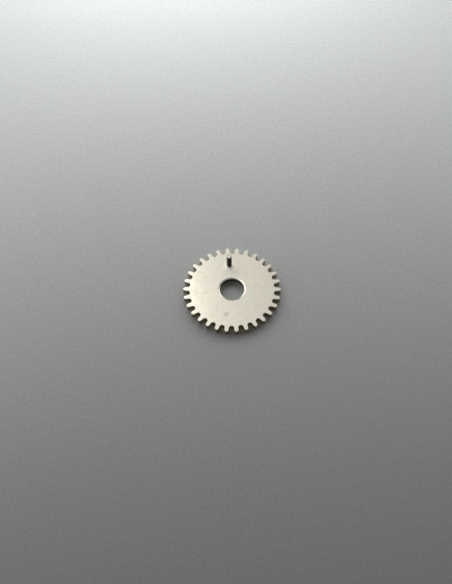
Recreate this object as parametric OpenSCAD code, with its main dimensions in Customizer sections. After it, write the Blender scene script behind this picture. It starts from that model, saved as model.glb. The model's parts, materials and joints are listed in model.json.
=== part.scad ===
// Date indicator driving wheel of a watch calendar, in millimetres.
// A thin toothed plate turns on a post through its centre hole, and the upright pin that is
// riveted into it pushes the date ring on by one day each time it comes round.
// The origin is on the wheel's axis at the plate's underside. +Z points up, to the pin's side,
// and +Y points from the axis to the pin, along the middle of a tooth.

/* [Wheel plate] */
// Diameter over the tips of the teeth
outside_d = 6; // [5.4:0.1:7]
// Thickness of the plate
plate_t = 0.34; // [0.2:0.01:0.5]
// Number of teeth
teeth = 30; // [26:1:34]

/* [Teeth] */
// Height of a tooth above its pitch circle
addendum = 0.25; // [0.18:0.01:0.3]
// Thickness of a tooth where it crosses the pitch circle
tooth_w = 0.262; // [0.25:0.002:0.3]
// Straight length of a tooth's side, from the pitch circle down to the round gap bottom
flank_l = 0.01; // [0.005:0.005:0.1]
// Radius that rounds the tip of a tooth
tip_round = 0.12; // [0.06:0.01:0.13]

/* [Centre hole] */
// Diameter of the centre hole
bore_d = 1.5; // [1:0.05:2.2]
// Width of the chamfer round the hole's upper edge
sink_w = 0.08; // [0.04:0.01:0.15]
// Depth of the chamfer
sink_depth = 0.05; // [0.02:0.01:0.12]

/* [Drive pin] */
// Diameter of the pin
pin_d = 0.33; // [0.28:0.01:0.4]
// Height of the pin above the plate
pin_h = 0.98; // [0.5:0.01:1.3]
// Distance from the wheel's axis to the pin's axis
pin_offset = 1.77; // [1.6:0.01:1.9]
// Width of the bevel round the pin's top
pin_bevel = 0.025; // [0.01:0.005:0.05]

/* [Pin fixing] */
// Diameter of the pin's tail, which goes through the plate, at the pin's shoulder
tail_d = 0.22; // [0.16:0.01:0.25]
// How much less the tail's radius is at its riveted end, so that it drives in to the shoulder
tail_taper = 0.003; // [0.001:0.001:0.006]
// Diameter of the riveted end of the tail, flush with the underside
rivet_d = 0.3; // [0.26:0.01:0.36]
// Depth of the countersink that the riveted end fills
rivet_depth = 0.08; // [0.04:0.01:0.12]
// Clearance between the tail and its hole, all round
tail_gap = 0.005; // [0.002:0.001:0.01]

/* [Hidden] */
$fn = 96;

// How far a cutter runs past the face that it cuts
past = 0.1;
// Flat steps along the side, the tip and the gap bottom of each tooth
side_steps = 3;
tip_steps = 4;
gap_steps = 8;

tip_r = outside_d / 2;
pitch_r = tip_r - addendum;
pitch_angle = 360 / teeth;
// Half the angle that a tooth, and the gap beside it, take at the wheel's axis
tooth_half = asin(tooth_w / 2 / pitch_r);
gap_half = pitch_angle / 2 - tooth_half;

// The gap bottom is one full round, tangent to the radial sides of the teeth beside it
gap_centre = (pitch_r - flank_l) / cos(gap_half);
gap_r = gap_centre * sin(gap_half);

// The side's arc starts on the pitch circle, tangent to the tooth's radial side, and ends
// tangent to the tip's round. The tooth's middle line is +Y here, and this is its right side.
side_start = [pitch_r * sin(tooth_half), pitch_r * cos(tooth_half)];
tip_centre = [0, tip_r - tip_round];
reach = side_start - tip_centre;
side_r = (reach * reach - tip_round * tip_round)
    / (2 * (reach[0] * cos(tooth_half) - reach[1] * sin(tooth_half) - tip_round));
side_centre = side_start + side_r * [-cos(tooth_half), sin(tooth_half)];
side_end_angle = atan2(tip_centre[1] - side_centre[1], tip_centre[0] - side_centre[0]);

// A point of an arc, by its angle
function on_arc(centre, radius, angle) = centre + radius * [cos(angle), sin(angle)];

// Where an arc's step lies between the arc's first and last angle
function between(first, last, step, steps) = first + (last - first) * step / steps;

// A point turned about the wheel's axis, anticlockwise
function turned(p, angle) =
    [p[0] * cos(angle) - p[1] * sin(angle), p[0] * sin(angle) + p[1] * cos(angle)];

// The right side of a tooth, up to its tip's round
right_side = [
    for (i = [0 : side_steps - 1])
        on_arc(side_centre, side_r, between(-tooth_half, side_end_angle, i, side_steps))
];

// The round of a tooth's tip
tip = [
    for (i = [0 : tip_steps])
        on_arc(tip_centre, tip_round, between(side_end_angle, 180 - side_end_angle, i, tip_steps))
];

// The left side of a tooth, down from its tip's round
left_side = [for (i = [side_steps - 1 : -1 : 0]) [-right_side[i][0], right_side[i][1]]];

// The round bottom of the gap that follows the tooth
gap = [
    for (i = [0 : gap_steps])
        turned(
            on_arc([0, gap_centre], gap_r, between(-gap_half, gap_half - 180, i, gap_steps)),
            pitch_angle / 2
        )
];

one_tooth = concat(right_side, tip, left_side, gap);

wheel_outline = [for (k = [0 : teeth - 1]) for (p = one_tooth) turned(p, k * pitch_angle)];

// The toothed plate, stamped from sheet, with its bored centre hole and the hole for the pin
module wheel_plate() {
    color([0.86, 0.84, 0.77])
        difference() {
            linear_extrude(plate_t)
                polygon(wheel_outline);
            centre_hole();
            pin_hole();
        }
}

// The centre hole, with the chamfer round its upper edge
module centre_hole() {
    translate([0, 0, -past])
        cylinder(d = bore_d, h = plate_t + 2 * past);
    translate([0, 0, plate_t - sink_depth])
        flare(bore_d / 2, sink_w, sink_depth);
}

// The hole for the pin's tail, countersunk at the underside for the riveted end
module pin_hole() {
    hole_r = tail_d / 2 + tail_gap;
    translate([0, pin_offset, -past])
        cylinder(r = hole_r, h = plate_t + 2 * past);
    translate([0, pin_offset, rivet_depth])
        mirror([0, 0, 1])
            flare(hole_r, (rivet_d - tail_d) / 2, rivet_depth);
}

// A cone that widens from a hole to the face it breaks, and runs past that face
module flare(hole_r, width, depth) {
    run = depth + past;
    cylinder(r1 = hole_r, r2 = hole_r + width * run / depth, h = run);
}

// The turned steel pin, standing on its shoulder, with its tail riveted flush underneath
module drive_pin() {
    top = plate_t + pin_h;
    color([0.36, 0.35, 0.33])
        translate([0, pin_offset, 0])
            rotate_extrude()
                polygon([
                    [0, 0],
                    [rivet_d / 2, 0],
                    [tail_d / 2 - tail_taper, rivet_depth],
                    [tail_d / 2, plate_t],
                    [pin_d / 2, plate_t],
                    [pin_d / 2, top - pin_bevel],
                    [pin_d / 2 - pin_bevel, top],
                    [0, top]
                ]);
}

wheel_plate();
drive_pin();
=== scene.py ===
import json
import math

import bmesh
import bpy
from mathutils import Matrix, Vector


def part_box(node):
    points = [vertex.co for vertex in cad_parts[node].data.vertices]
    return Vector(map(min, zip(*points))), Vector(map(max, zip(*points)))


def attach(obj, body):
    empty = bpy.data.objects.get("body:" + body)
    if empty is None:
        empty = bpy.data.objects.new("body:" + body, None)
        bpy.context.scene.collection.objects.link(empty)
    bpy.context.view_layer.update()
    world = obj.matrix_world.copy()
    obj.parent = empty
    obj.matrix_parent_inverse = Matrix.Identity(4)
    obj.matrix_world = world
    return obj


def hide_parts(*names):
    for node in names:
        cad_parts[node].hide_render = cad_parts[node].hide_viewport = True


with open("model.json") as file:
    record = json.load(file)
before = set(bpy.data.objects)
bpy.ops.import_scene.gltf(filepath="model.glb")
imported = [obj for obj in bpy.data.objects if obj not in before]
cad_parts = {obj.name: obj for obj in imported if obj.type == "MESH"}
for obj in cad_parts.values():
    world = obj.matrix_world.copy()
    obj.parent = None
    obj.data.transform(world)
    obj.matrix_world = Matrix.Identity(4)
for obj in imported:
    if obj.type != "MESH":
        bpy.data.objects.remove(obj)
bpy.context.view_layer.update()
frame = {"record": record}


# Toothed wheel plate
# The real piece is a disc of hard brass sheet, stamped to shape with its teeth and nickel
# plated, with a bored and chamfered hole in which it runs on its post. It lies flat, and
# carries the drive pin near its teeth.

# The pieces are only a few millimetres wide, so they are modelled in millimetres, where bevels
# and merges work exactly, and brought to metres when they are finished
MM_IN_A_METRE = 1000
# Places nearer than this are the same place
CLOSE = 0.0005

mounts = {mount["name"]: mount for mount in frame["record"]["mounts"]}
plate_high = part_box("wheel_plate")[1]
thickness = plate_high.z * MM_IN_A_METRE
tip_radius = plate_high.y * MM_IN_A_METRE
pitch_radius = mounts["teeth"]["dims"]["pcd_mm"] / 2
teeth = mounts["teeth"]["dims"]["count"]
tooth_width = 0.262
flank = 0.01
tip_round = 0.12
bore_radius = mounts["bore"]["dims"]["r_mm"]
chamfer_width = 0.08
chamfer_foot = mounts["bore"]["dims"]["length_mm"]
rolled_edge = 0.032
sheared_edge = 0.005
turned_edge = 0.006
chamfer_round = 0.025
# Flat steps of each arc in half a tooth's outline, and of the hole's edge under it
tip_steps = 6
side_steps = 7
gap_steps = 14
hole_steps = 4

tooth_angle = math.tau / teeth
half_tooth = math.asin(tooth_width / 2 / pitch_radius)
half_gap = tooth_angle / 2 - half_tooth


def along(angle, radius):
    """The place at that angle, clockwise from the middle of the first tooth, and radius."""
    return Vector((math.sin(angle) * radius, math.cos(angle) * radius, 0))


# A tooth's side is one arc, tangent to the straight flank and to the round of the tip, and the
# bottom of the gap between two teeth is one round, tangent to their flanks
tip_centre = along(0, tip_radius - tip_round)
side_start = along(half_tooth, pitch_radius)
flank_end = along(half_tooth, pitch_radius - flank)
gap_centre = along(tooth_angle / 2, (pitch_radius - flank) / math.cos(half_gap))
gap_bottom = gap_centre - along(tooth_angle / 2, (gap_centre - flank_end).length)
outward = Vector((math.cos(half_tooth), -math.sin(half_tooth), 0))
reach = side_start - tip_centre
side_radius = (reach.dot(reach) - tip_round**2) / (2 * (reach.dot(outward) - tip_round))
side_centre = side_start - outward * side_radius
to_tip = tip_centre - side_centre
side_end = math.atan2(to_tip.y, to_tip.x)


def start_point(name, place):
    """A new piece in edit mode that is one selected point."""
    bpy.ops.object.select_all(action="DESELECT")
    bpy.ops.mesh.primitive_plane_add(size=tip_round)
    piece = bpy.context.object
    piece.name = name
    bpy.ops.object.mode_set(mode="EDIT")
    bpy.ops.mesh.merge(type="CENTER")
    bpy.ops.transform.translate(value=place)
    return piece


def draw_arc(centre, angle, steps):
    """Draws the line on from its selected end, clockwise about the centre."""
    bpy.ops.mesh.spin(steps=steps, angle=angle, center=centre, axis=(0, 0, 1))


def push(move):
    """Extrudes what is selected by that much."""
    bpy.ops.mesh.extrude_region_move(TRANSFORM_OT_translate={"value": move})


def pick(piece, kind, test):
    """Selects only the edges or faces that pass the test."""
    bpy.ops.mesh.select_mode(type=kind)
    bpy.ops.mesh.select_all(action="DESELECT")
    mesh = bmesh.from_edit_mesh(piece.data)
    for part in {"EDGE": mesh.edges, "FACE": mesh.faces}[kind]:
        if test(part):
            part.select_set(True)
    mesh.select_flush_mode()
    bmesh.update_edit_mesh(piece.data)


def face_outwards():
    """Turns all the faces of the piece in edit mode outwards."""
    bpy.ops.mesh.select_all(action="SELECT")
    bpy.ops.mesh.normals_make_consistent(inside=False)


def add_and_apply(piece, kind, **settings):
    """Adds a modifier with its settings to the piece and applies it."""
    bpy.context.view_layer.objects.active = piece
    modifier = piece.modifiers.new(kind.lower(), kind)
    for name, value in settings.items():
        setattr(modifier, name, value)
    bpy.ops.object.modifier_apply(modifier=modifier.name)


# Half of the first tooth's outline, from its tip to the bottom of the gap, and in to the hole
plate = start_point("toothed_plate", along(0, tip_radius))
draw_arc(tip_centre, math.pi / 2 - side_end, tip_steps)
draw_arc(side_centre, side_end + half_tooth, side_steps)
push(flank_end - side_start)
draw_arc(gap_centre, half_gap - math.pi / 2, gap_steps)
push(along(tooth_angle / 2, bore_radius) - gap_bottom)
draw_arc((0, 0, 0), -tooth_angle / 2, hole_steps)
bpy.ops.object.mode_set(mode="OBJECT")
add_and_apply(plate, "MIRROR", merge_threshold=CLOSE)

# One flat slice of the plate, copied round the axis for each tooth, and thickened
bpy.ops.object.mode_set(mode="EDIT")
bpy.ops.mesh.select_all(action="SELECT")
bpy.ops.mesh.edge_face_add()
bpy.ops.mesh.spin(
    steps=teeth - 1, angle=math.tau - tooth_angle, center=(0, 0, 0), axis=(0, 0, 1), dupli=True
)
bpy.ops.mesh.select_all(action="SELECT")
bpy.ops.mesh.remove_doubles(threshold=CLOSE)
push((0, 0, thickness))
face_outwards()


def on_height(edge, height):
    """Whether both ends of an edge lie at that height."""
    return all(abs(vertex.co.z - height) < CLOSE for vertex in edge.verts)


def on_radius(edge, radius):
    """Whether both ends of an edge lie at that distance from the axis."""
    return all(abs(vertex.co.xy.length - radius) < CLOSE for vertex in edge.verts)


def is_rim(edge):
    """Whether an edge is part of the toothed outline of the upper or lower face."""
    steepness = [abs(face.normal.z) for face in edge.link_faces]
    return edge.verts[0].co.xy.length > 2 * bore_radius and min(steepness) < 0.5 < max(steepness)


# The hole's wall is cut round where the chamfer ends, and its upper edge is opened out
pick(plate, "FACE", lambda face: face.calc_center_median().xy.length < bore_radius)
bpy.ops.mesh.bisect(plane_co=(0, 0, chamfer_foot), plane_no=(0, 0, 1))
pick(plate, "EDGE", lambda edge: on_height(edge, thickness) and on_radius(edge, bore_radius))
opening = 1 + chamfer_width / bore_radius
bpy.ops.transform.resize(value=(opening, opening, 1), center_override=(0, 0, thickness))

# Stamping rolls the outline's upper edge over and leaves its lower edge nearly sharp, and the
# turned chamfer meets the face in a round, and the hole's wall in edges that are just broken
pick(plate, "EDGE", lambda edge: on_height(edge, thickness) and is_rim(edge))
bpy.ops.mesh.bevel(offset=rolled_edge, segments=5, affect="EDGES")
pick(plate, "EDGE", lambda edge: on_height(edge, 0) and is_rim(edge))
bpy.ops.mesh.bevel(offset=sheared_edge, segments=2, affect="EDGES")
pick(plate, "EDGE", lambda edge: on_radius(edge, bore_radius + chamfer_width))
bpy.ops.mesh.bevel(offset=chamfer_round, segments=4, affect="EDGES")
for height in (chamfer_foot, 0):
    pick(plate, "EDGE", lambda edge: on_height(edge, height) and on_radius(edge, bore_radius))
    bpy.ops.mesh.bevel(offset=turned_edge, segments=2, affect="EDGES")
bpy.ops.object.mode_set(mode="OBJECT")

# The hole for the pin's tail, countersunk from below, is drilled with a cutter
pin_place = Vector((0, mounts["drive_pin"]["pos_m"][1] * MM_IN_A_METRE, 0))
tail_gap = 0.005
tail_radius = 0.11
rivet_radius = 0.15
rivet_depth = 0.08


def start_disc(name, radius, sides, place):
    """A new piece in edit mode that is one flat round face."""
    bpy.ops.object.select_all(action="DESELECT")
    bpy.ops.mesh.primitive_circle_add(vertices=sides, radius=radius, fill_type="NGON")
    piece = bpy.context.object
    piece.name = name
    bpy.ops.object.mode_set(mode="EDIT")
    bpy.ops.mesh.select_all(action="SELECT")
    bpy.ops.transform.translate(value=place)
    return piece


def widen(share, centre):
    """Scales what is selected, level, about the centre."""
    bpy.ops.transform.resize(value=(share, share, 1), center_override=centre)


hole_radius = tail_radius + tail_gap
drill_run = 0.05
drill_sides = 48
drill_start = rivet_radius + tail_gap + drill_run * (rivet_radius - tail_radius) / rivet_depth
drill = start_disc("drill", drill_start, drill_sides, pin_place - Vector((0, 0, drill_run)))
push((0, 0, drill_run + rivet_depth))
widen(hole_radius / drill_start, pin_place)
push((0, 0, thickness))
face_outwards()
bpy.ops.object.mode_set(mode="OBJECT")
add_and_apply(plate, "BOOLEAN", object=drill, operation="DIFFERENCE", solver="EXACT")
bpy.data.objects.remove(drill)


# Edges that bend more than this many degrees stay sharp
SHARP_ANGLE = 50


def finish_shape(piece):
    """Shades a finished piece with its flat faces flat, and brings it to metres."""
    bpy.ops.object.select_all(action="DESELECT")
    piece.select_set(True)
    bpy.context.view_layer.objects.active = piece
    bpy.ops.object.shade_smooth_by_angle(angle=math.radians(SHARP_ANGLE))
    add_and_apply(piece, "WEIGHTED_NORMAL", keep_sharp=True, weight=90)
    bpy.ops.transform.resize(value=[1 / MM_IN_A_METRE] * 3, center_override=(0, 0, 0))
    bpy.ops.object.transform_apply(location=True, rotation=True, scale=True)


def linear(hex_colour):
    """The linear colour of an sRGB hex value."""
    channels = [int(hex_colour[i : i + 2], 16) / 255 for i in (1, 3, 5)]
    return [c / 12.92 if c <= 0.04045 else ((c + 0.055) / 1.055) ** 2.4 for c in channels] + [1]


def add_node(tree, kind, properties, inputs, output=0):
    """Adds a node and returns one of its outputs. An input takes a value, a hex colour or
    another node's output."""
    node = tree.nodes.new("ShaderNode" + kind)
    for name, value in properties.items():
        setattr(node, name, value)
    for name, value in inputs.items():
        if isinstance(value, bpy.types.NodeSocket):
            tree.links.new(value, node.inputs[name])
        else:
            node.inputs[name].default_value = linear(value) if isinstance(value, str) else value
    return node.outputs[output]


def start_material(name):
    """A new material, its nodes, and its object coordinates in millimetres."""
    material = bpy.data.materials.new(name)
    material.use_nodes = True
    tree = material.node_tree
    place = add_node(tree, "TexCoord", {}, {}, "Object")
    scale = [MM_IN_A_METRE] * 3
    return material, tree, add_node(tree, "Mapping", {}, {"Vector": place, "Scale": scale})


def lay_over(tree, under, over, pattern, low=0, high=1, most=1):
    """A colour with another laid over it, from not at all where the pattern is at low, up to
    the share that is the most where it is at high."""
    limits = {"Value": pattern, "From Min": low, "From Max": high, "To Max": most}
    share = add_node(tree, "MapRange", {}, limits)
    return add_node(tree, "Mix", {"data_type": "RGBA"}, {0: share, 6: under, 7: over}, 2)


def finish_metal(tree, colour, roughness, height, relief):
    """Makes the material a metal, with a relief of that many millimetres from a height of 1."""
    distance = relief / MM_IN_A_METRE
    bump = add_node(tree, "Bump", {}, {"Height": height, "Strength": 1, "Distance": distance})
    metal = tree.nodes["Principled BSDF"].inputs
    metal["Metallic"].default_value = 1
    tree.links.new(colour, metal["Base Color"])
    tree.links.new(roughness, metal["Roughness"])
    tree.links.new(bump, metal["Normal"])


# Bright nickel plate on stamped brass, tumbled to a satin: a warm white metal, soft as silk in
# its reflections, with a fine even grain, faint clouds of rose and green where the plating is
# thicker or thinner, painted light that makes it lighter and creamier on the left and darker
# and rosier on the right, a few pits and hairlines, and burnished rounds along its edges
satin, tree, mm = start_material("satin_nickel_plate")
# The real grain is about 0.01 mm, drawn four times as coarse so that it shows
grain_size = 0.04
mottle_size = 0.3
patch_size = 0.8
cloud_size = 2.4
# Painted light: the face is painted lighter towards the left, with a creamy near-white painted
# highlight strongest at its left edge, and darker and rosier towards the right, partly painted
# shade and partly a rose tint of the plating
left_light_from = -0.3 * tip_radius
left_light_full = -0.95 * tip_radius
right_shade_from = -0.5 * tip_radius
right_shade_full = 0.7 * tip_radius
grain = add_node(
    tree, "TexNoise", {}, {"Vector": mm, "Scale": 1 / grain_size, "Detail": 3, "Roughness": 0.6}
)
mottle = add_node(
    tree, "TexNoise", {}, {"Vector": mm, "Scale": 1 / mottle_size, "Detail": 4, "Roughness": 0.65}
)
patches = add_node(tree, "TexNoise", {}, {"Vector": mm, "Scale": 1 / patch_size, "Detail": 2})
clouds = add_node(tree, "TexNoise", {}, {"Vector": mm, "Scale": 1 / cloud_size, "Detail": 1})
across = add_node(tree, "SeparateXYZ", {}, {"Vector": mm}, "X")
rose_and_right_shade = add_node(
    tree, "MapRange", {}, {"Value": across, "From Min": right_shade_from, "From Max": right_shade_full, "To Max": 0.7}
)
rosier = add_node(
    tree, "MapRange", {}, {"Value": clouds, "From Min": 0.35, "From Max": 0.65, "To Max": 0.3}
)
rose_and_right_shade = add_node(tree, "Math", {"operation": "ADD"}, {0: rose_and_right_shade, 1: rosier})
left_light = add_node(
    tree, "MapRange", {}, {"Value": across, "From Min": left_light_from, "From Max": left_light_full}
)
left_light = add_node(tree, "Math", {"operation": "POWER"}, {0: left_light, 1: 2})
# Painted shade with a rose tint, growing towards the right
colour = lay_over(tree, "#DDD9CA", "#D3CCC2", rose_and_right_shade)
colour = lay_over(tree, colour, "#D1D4C5", patches, low=0.45, high=0.65, most=0.45)
# Painted highlight, creamy near-white, growing towards the left edge
colour = lay_over(tree, colour, "#FFFBEC", left_light)
colour = lay_over(tree, colour, "#C6BEAF", mottle, low=0.45, high=0.75, most=0.45)
colour = lay_over(tree, colour, "#BDB6A8", grain, low=0.5, high=0.75, most=0.3)


def far_from(tree, mm, centre, stretch):
    """How far a place is from the centre, with each axis stretched."""
    moved = [-c * s for c, s in zip(centre, stretch)]
    moved = add_node(tree, "Mapping", {}, {"Vector": mm, "Location": moved, "Scale": stretch})
    return add_node(tree, "VectorMath", {"operation": "LENGTH"}, {0: moved}, "Value")


def spot(tree, mm, centre, radius, stretch):
    """How much of a soft spot shows at a place: 1 about its centre and 0 past its edge."""
    away = far_from(tree, mm, centre, stretch)
    return add_node(
        tree, "MapRange", {}, {"Value": away, "From Min": radius, "From Max": 0.3 * radius}
    )


# A dull stain and a faint rubbed mark, broken up by the mottle
stain = spot(tree, mm, centre=(-0.5, -1.73, thickness), radius=0.2, stretch=(1, 1, 1))
rubbed = spot(tree, mm, centre=(1.59, 0.05, thickness), radius=0.16, stretch=(0.6, 1.6, 1))
rubbed = add_node(tree, "Math", {"operation": "MULTIPLY"}, {0: rubbed, 1: 0.5})
marks = add_node(tree, "Math", {"operation": "MAXIMUM"}, {0: stain, 1: rubbed})
limits = {"From Min": 0.35, "From Max": 0.6, "To Min": 0.15, "To Max": 0.65}
blotches = add_node(tree, "MapRange", {}, {"Value": mottle, **limits})
marks = add_node(tree, "Math", {"operation": "MULTIPLY"}, {0: marks, 1: blotches})
colour = lay_over(tree, colour, "#A49C8C", marks)

# Painted light: the plate about the pin's foot, most of all in front of it, is painted brighter,
# filling in the shade that the pin casts there
pin_foot_painted_light = spot(tree, mm, centre=(0, 1.64, thickness), radius=0.5, stretch=(1, 1, 1))
colour = lay_over(tree, colour, "#FBF7EA", pin_foot_painted_light, most=0.65)

# A small dark spot at the left edge of the hole
hole_edge_dark_spot = spot(tree, mm, centre=(-0.83, 0.15, thickness), radius=0.07, stretch=(0.8, 1.6, 1))
colour = lay_over(tree, colour, "#4E473B", hole_edge_dark_spot, most=0.8)

# Pits a few hundredths of a millimetre wide, in one cell in five
pit_spacing = 0.35
# How far a pit's dark middle and its edge lie from its centre, as shares of the spacing
pit_middle = 0.02
pit_edge = 0.07
pit = add_node(tree, "TexVoronoi", {}, {"Vector": mm, "Scale": 1 / pit_spacing}, "Distance")
chosen = add_node(tree, "SeparateColor", {}, {"Color": pit.node.outputs["Color"]}, "Red")
chosen = add_node(tree, "Math", {"operation": "GREATER_THAN"}, {0: chosen, 1: 0.8})
pit = add_node(tree, "MapRange", {}, {"Value": pit, "From Min": pit_edge, "From Max": pit_middle})
pit = add_node(tree, "Math", {"operation": "MULTIPLY"}, {0: pit, 1: chosen})
colour = lay_over(tree, colour, "#6F685B", pit, most=0.6)

# Hairlines from handling, long and thin, in two directions, each with a place of its own in
# the pattern
hairline_length = 4
hairline_width = 1 / 22
hairlines = 0
for turn, place in ((0.4, 3.1), (2.0, 8.7)):
    laid = add_node(
        tree, "Mapping", {}, {"Vector": mm, "Rotation": (0, 0, turn), "Location": [place] * 3}
    )
    drawn = add_node(
        tree, "Mapping", {}, {"Vector": laid, "Scale": (1 / hairline_length, 1 / hairline_width, 1)}
    )
    line = add_node(tree, "TexNoise", {}, {"Vector": drawn, "Scale": 1, "Detail": 1})
    line = add_node(tree, "MapRange", {}, {"Value": line, "From Min": 0.71, "From Max": 0.75})
    hairlines = add_node(tree, "Math", {"operation": "MAXIMUM"}, {0: line, 1: hairlines})

# The rounds at the edges lean away from the flat faces, and are rubbed bright
upright = add_node(tree, "NewGeometry", {}, {}, "Normal")
upright = add_node(tree, "SeparateXYZ", {}, {"Vector": upright}, "Z")
upright = add_node(tree, "Math", {"operation": "ABSOLUTE"}, {0: upright})
burnish = add_node(tree, "MapRange", {}, {"Value": upright, "From Min": 0.98, "From Max": 0.75})
colour = lay_over(tree, colour, "#EDE8DA", burnish, most=0.7)

# Most of the values of a noise lie between these
SPREAD = {"From Min": 0.3, "From Max": 0.7}
roughness = add_node(tree, "MapRange", {}, {"Value": grain, **SPREAD, "To Min": 0.5, "To Max": 0.6})
height = add_node(tree, "Math", {"operation": "MULTIPLY"}, {0: grain, 1: 0.5})
more = {"operation": "MULTIPLY_ADD"}
roughness = add_node(tree, "Math", more, {0: marks, 1: 0.15, 2: roughness})
roughness = add_node(tree, "Math", more, {0: burnish, 1: -0.12, 2: roughness})
height = add_node(tree, "Math", more, {0: pit, 1: -2, 2: height})
height = add_node(tree, "Math", more, {0: hairlines, 1: -0.35, 2: height})
finish_metal(tree, colour, roughness, height, relief=0.0025)

# The stamped wall between the faces: the punch drags bright upright lines down its upper part,
# and below them the sheet breaks away rough and dull, and the thin plating leaves it brownish
sheared, tree, mm = start_material("sheared_brass_edge")
# The real drag lines are finer than 0.01 mm, drawn at twice that so that they show
line_width = 0.02
torn_size = 0.05
wander_size = 0.15
# The drag lines fade into the broken part between these heights
break_from = 0.15
break_full = 0.11
# The height shrinks to this share in the lines' pattern, which draws them out upright
height_share = 0.06
drag = add_node(tree, "Mapping", {}, {"Vector": mm, "Scale": (1, 1, height_share)})
lines = add_node(
    tree, "TexNoise", {}, {"Vector": drag, "Scale": 1 / line_width, "Detail": 3, "Roughness": 0.7}
)
torn = add_node(
    tree, "TexNoise", {}, {"Vector": mm, "Scale": 1 / torn_size, "Detail": 4, "Roughness": 0.7}
)
wander = add_node(tree, "TexNoise", {}, {"Vector": mm, "Scale": 1 / wander_size, "Detail": 2})
wander = add_node(tree, "MapRange", {}, {"Value": wander, **SPREAD, "To Min": -0.03, "To Max": 0.03})
level = add_node(tree, "SeparateXYZ", {}, {"Vector": mm}, "Z")
level = add_node(tree, "Math", {"operation": "ADD"}, {0: level, 1: wander})
broken = add_node(
    tree, "MapRange", {}, {"Value": level, "From Min": break_from, "From Max": break_full}
)
dragged = lay_over(tree, "#CBC2AB", "#A3987F", lines, low=0.4, high=0.7)
rough = lay_over(tree, "#B3A586", "#807259", torn, low=0.35, high=0.65)
colour = lay_over(tree, dragged, rough, broken)
roughness = add_node(tree, "Mix", {}, {0: broken, 2: 0.34, 3: 0.55})
height = add_node(tree, "Math", {"operation": "MULTIPLY"}, {0: lines, 1: 0.5})
height = add_node(tree, "Mix", {}, {0: broken, 2: height, 3: torn})
finish_metal(tree, colour, roughness, height, relief=0.004)

# The hole and its chamfer are cut with a tool after stamping: bright nickel with fine rings,
# with painted shade, dark and brownish, on the wall below the chamfer
bored, tree, mm = start_material("turned_nickel_hole")
# The tool's feed is about 0.005 mm a turn, drawn at twice that so that it shows
ring_width = 0.01
smear_size = 0.12
bore_shade_from = chamfer_foot + 0.02
bore_shade_full = chamfer_foot - 0.01
level = add_node(tree, "SeparateXYZ", {}, {"Vector": mm}, "Z")
feed = far_from(tree, mm, (0, 0, 0), (1, 1, 0))
feed = add_node(tree, "Math", {"operation": "ADD"}, {0: feed, 1: level})
rings = add_node(
    tree, "TexNoise", {"noise_dimensions": "1D"}, {"W": feed, "Scale": 1 / ring_width, "Detail": 2}
)
smear = add_node(tree, "TexNoise", {}, {"Vector": mm, "Scale": 1 / smear_size, "Detail": 3})
colour = lay_over(tree, "#F0EDE4", "#D3CEC1", rings, low=0.35, high=0.7)
colour = lay_over(tree, colour, "#C4BDAD", smear, low=0.5, high=0.8, most=0.4)
# Painted shade, dark and brownish, on the hole's wall below the chamfer
colour = lay_over(tree, colour, "#6E6656", level, low=bore_shade_from, high=bore_shade_full, most=0.8)
roughness = add_node(tree, "MapRange", {}, {"Value": smear, **SPREAD, "To Min": 0.2, "To Max": 0.34})
finish_metal(tree, colour, roughness, rings, relief=0.001)


def wear(piece, material, test):
    """Gives the faces that pass the test a material."""
    piece.data.materials.append(material)
    place = len(piece.data.materials) - 1
    for face in piece.data.polygons:
        if test(face):
            face.material_index = place


def is_wall(face):
    """Whether a face is part of the upright wall of the teeth."""
    return abs(face.normal.z) < 0.01 and face.center.xy.length > 2 * bore_radius


def is_hole(face):
    """Whether a face is part of the centre hole or its chamfer."""
    opened = bore_radius + chamfer_width - turned_edge / 2
    return abs(face.normal.z) < 0.999 and face.center.xy.length < opened


wear(plate, satin, lambda face: True)
wear(plate, sheared, is_wall)
wear(plate, bored, is_hole)
finish_shape(plate)
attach(plate, "root")
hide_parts("wheel_plate")


# Drive pin
# The real piece is turned from a steel rod, with a polished end, a shoulder that stands on the
# plate and a thinner tail that is driven through it and riveted flush underneath. It pushes the
# date ring on by one day as it comes round.
pin_radius = mounts["drive_pin"]["dims"]["r_mm"]
pin_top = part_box("drive_pin")[1].z * MM_IN_A_METRE
pin_bevel = 0.025
tail_taper = 0.003
end_round = 0.006
pin_sides = 64

pin = start_disc("drive_pin_turned", rivet_radius, pin_sides, pin_place)
push((0, 0, rivet_depth))
widen((tail_radius - tail_taper) / rivet_radius, pin_place)
push((0, 0, thickness - rivet_depth))
widen(tail_radius / (tail_radius - tail_taper), pin_place)
push((0, 0, 0))
widen(pin_radius / tail_radius, pin_place)
push((0, 0, pin_top - thickness - pin_bevel))
push((0, 0, pin_bevel))
widen((pin_radius - pin_bevel) / pin_radius, pin_place)
face_outwards()
for height in (pin_top, pin_top - pin_bevel):
    pick(pin, "EDGE", lambda edge: on_height(edge, height))
    bpy.ops.mesh.bevel(offset=end_round, segments=2, affect="EDGES")
bpy.ops.object.mode_set(mode="OBJECT")

# Hardened steel, turned, smooth enough to mirror what is round it, with fine rings from the
# turning tool; its side is painted near black and brown-grey as painted shade, far darker
# than the same steel at its end
pin_side_painted_shade, tree, mm = start_material("steel_side_painted_shade")
# The tool's feed is about 0.01 mm a turn, drawn at twice that so that it shows
ring_width = 0.02
smear_size = 0.1
level = add_node(tree, "SeparateXYZ", {}, {"Vector": mm}, "Z")
rings = add_node(
    tree, "TexNoise", {"noise_dimensions": "1D"}, {"W": level, "Scale": 1 / ring_width, "Detail": 3}
)
smear = add_node(tree, "TexNoise", {}, {"Vector": mm, "Scale": 1 / smear_size, "Detail": 3})
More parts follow.
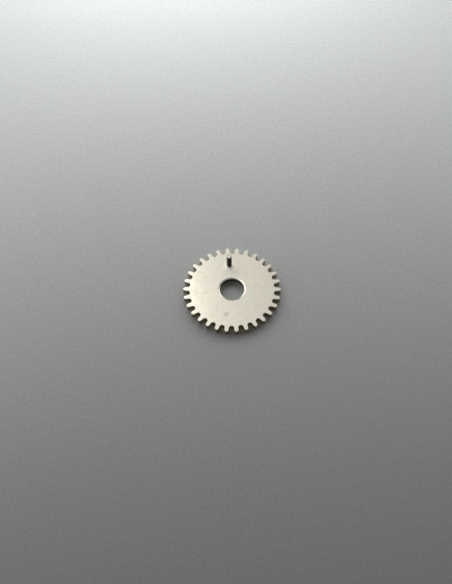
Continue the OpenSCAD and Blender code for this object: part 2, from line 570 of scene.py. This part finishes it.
# Painted shade: the pin's side is near black, with brownish smears
colour = lay_over(tree, "#242220", "#151413", rings, low=0.35, high=0.7)
colour = lay_over(tree, colour, "#33291F", smear, low=0.5, high=0.75, most=0.5)
roughness = add_node(tree, "MapRange", {}, {"Value": smear, **SPREAD, "To Min": 0.18, "To Max": 0.32})
finish_metal(tree, colour, roughness, rings, relief=0.0015)

# The same steel at the pin's end and at the riveted end of its tail, faced and rubbed bright
polished, tree, mm = start_material("polished_steel_end")
# The rings of the facing cut are about 0.006 mm wide, drawn at twice that so that they show
ring_width = 0.012
smear_size = 0.06
out = far_from(tree, mm, pin_place, (1, 1, 0))
rings = add_node(
    tree, "TexNoise", {"noise_dimensions": "1D"}, {"W": out, "Scale": 1 / ring_width, "Detail": 2}
)
smear = add_node(tree, "TexNoise", {}, {"Vector": mm, "Scale": 1 / smear_size, "Detail": 3})
colour = lay_over(tree, "#CFCBC2", "#ABA69C", rings, low=0.35, high=0.7)
roughness = add_node(tree, "MapRange", {}, {"Value": smear, **SPREAD, "To Min": 0.24, "To Max": 0.36})
finish_metal(tree, colour, roughness, rings, relief=0.001)


def is_end(face):
    """Whether a face is part of the pin's end or of its riveted end, and not of its shoulder."""
    return abs(face.normal.z) > 0.6 and abs(face.center.z - thickness) > CLOSE


wear(pin, pin_side_painted_shade, lambda face: True)
wear(pin, polished, is_end)
finish_shape(pin)
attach(pin, "root")
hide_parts("drive_pin")


# Floor
# The wheel lies on a plain board with a matt painted face, a pale cool grey with a fine, very
# faint speckle.
floor_half = 0.055
bpy.ops.object.select_all(action="DESELECT")
bpy.ops.mesh.primitive_plane_add(size=2 * floor_half)
floor = bpy.context.object
floor.name = "floor"
matt, tree, mm = start_material("pale_matt_board")
speckle_size = 0.2
speckle = add_node(tree, "TexNoise", {}, {"Vector": mm, "Scale": 1 / speckle_size, "Detail": 3})
colour = lay_over(tree, "#D7DBDB", "#E0E4E4", speckle, low=0.35, high=0.65)
paint = tree.nodes["Principled BSDF"].inputs
paint["Roughness"].default_value = 0.9
paint["Specular IOR Level"].default_value = 0.2
tree.links.new(colour, paint["Base Color"])
floor.data.materials.append(matt)


# Light
# Low windows light the wheel from behind, so that its shadow falls to the front. The middle
# and side ones light only the floor: in the metal, a dim wall stands behind the wheel, under
# a ceiling that is bright on the left.
DAYLIGHT = "#FFFEFC"
WINDOW_DISTANCE = 0.045
NEAR_WINDOW_DISTANCE = 0.037
CEILING_DISTANCE = 0.028


def add_lamp(name, azimuth, elevation, distance, width, height, radiance):
    """A soft lamp that faces the wheel, seen from it at that azimuth, clockwise from +Y. Its
    width and height are the angles that it takes there, all in degrees."""
    azimuth, elevation = math.radians(azimuth), math.radians(elevation)
    level = math.cos(elevation)
    away = Vector((math.sin(azimuth) * level, math.cos(azimuth) * level, math.sin(elevation)))
    lamp = bpy.data.lights.new(name, "AREA")
    lamp.shape = "RECTANGLE"
    lamp.size = 2 * distance * math.tan(math.radians(width) / 2)
    lamp.size_y = 2 * distance * math.tan(math.radians(height) / 2)
    lamp.energy = radiance * math.pi * lamp.size * lamp.size_y
    lamp.color = linear(DAYLIGHT)[:3]
    piece = bpy.data.objects.new(name, lamp)
    bpy.context.scene.collection.objects.link(piece)
    piece.location = away * distance
    piece.rotation_mode = "QUATERNION"
    piece.rotation_quaternion = away.to_track_quat("Z", "Y")
    piece.visible_camera = False
    return piece


# Each lamp's azimuth, elevation, distance in metres, width, height and radiance
add_lamp("window_left", -45, 20, WINDOW_DISTANCE, 46, 40, 1.35)
add_lamp("window_right", 45, 18, WINDOW_DISTANCE, 46, 36, 1.25)
for floor_only in (
    add_lamp("window_middle", 0, 22, NEAR_WINDOW_DISTANCE, 46, 44, 2.6),
    add_lamp("side_left", -85, 18, NEAR_WINDOW_DISTANCE, 40, 30, 0.85),
    add_lamp("side_right", 75, 18, WINDOW_DISTANCE, 40, 30, 0.8),
):
    floor_only.visible_glossy = False
for mirrored in (
    add_lamp("ceiling_left", -58, 62, CEILING_DISTANCE, 50, 40, 1.8),
    add_lamp("ceiling_middle", 0, 62, CEILING_DISTANCE, 40, 34, 0.5),
    add_lamp("back_wall", 0, 20, WINDOW_DISTANCE, 60, 48, 0.4),
):
    mirrored.visible_diffuse = False

# The rest of the room is pale grey to the camera and in the metal, and adds little light
world = bpy.data.worlds.new("dim_room")
bpy.context.scene.world = world
world.use_nodes = True
tree = world.node_tree
light_path = add_node(tree, "LightPath", {}, {}).node
seen = light_path.outputs["Is Camera Ray"]
for ray in ("Is Glossy Ray", "Is Transmission Ray"):
    seen = add_node(tree, "Math", {"operation": "ADD"}, {0: seen, 1: light_path.outputs[ray]})
strength = add_node(tree, "MapRange", {}, {"Value": seen, "To Min": 0.03, "To Max": 0.33})
room = tree.nodes["Background"].inputs
room["Color"].default_value = linear("#FCFDFF")
tree.links.new(strength, room["Strength"])


# Camera
# A long lens looks down at the wheel from the front, a little from the left, from where the
# photo was taken.
PHOTO_WIDTH = 452
PHOTO_HEIGHT = 584
# Where the centre of the wheel's upper face falls in the photo
CENTRE_ACROSS = 231.98
CENTRE_DOWN = 288.93
azimuth = math.radians(-4.12)
elevation = math.radians(59)
roll = math.radians(1.41)
lens = 60
sensor = 36
camera_distance = 0.0597
pixel = camera_distance * sensor / lens / PHOTO_HEIGHT
centre_right = (CENTRE_ACROSS - PHOTO_WIDTH / 2) * pixel
centre_up = (PHOTO_HEIGHT / 2 - CENTRE_DOWN) * pixel

front = math.cos(elevation)
back = Vector((math.sin(azimuth) * front, -math.cos(azimuth) * front, math.sin(elevation)))
level_right = Vector((math.cos(azimuth), math.sin(azimuth), 0))
level_up = back.cross(level_right)
right = level_right * math.cos(roll) - level_up * math.sin(roll)
up = level_right * math.sin(roll) + level_up * math.cos(roll)
aim = Vector((0, 0, plate_high.z)) - right * centre_right - up * centre_up
camera = bpy.data.cameras.new("camera")
camera.lens = lens
camera.sensor_width = sensor
camera.clip_start = 0.001
camera.clip_end = 1
viewer = bpy.data.objects.new("camera", camera)
bpy.context.scene.collection.objects.link(viewer)
turn = Matrix((right, up, back)).transposed()
viewer.matrix_world = Matrix.Translation(aim + back * camera_distance) @ turn.to_4x4()
bpy.context.scene.camera = viewer
bpy.context.scene.view_settings.view_transform = "Standard"
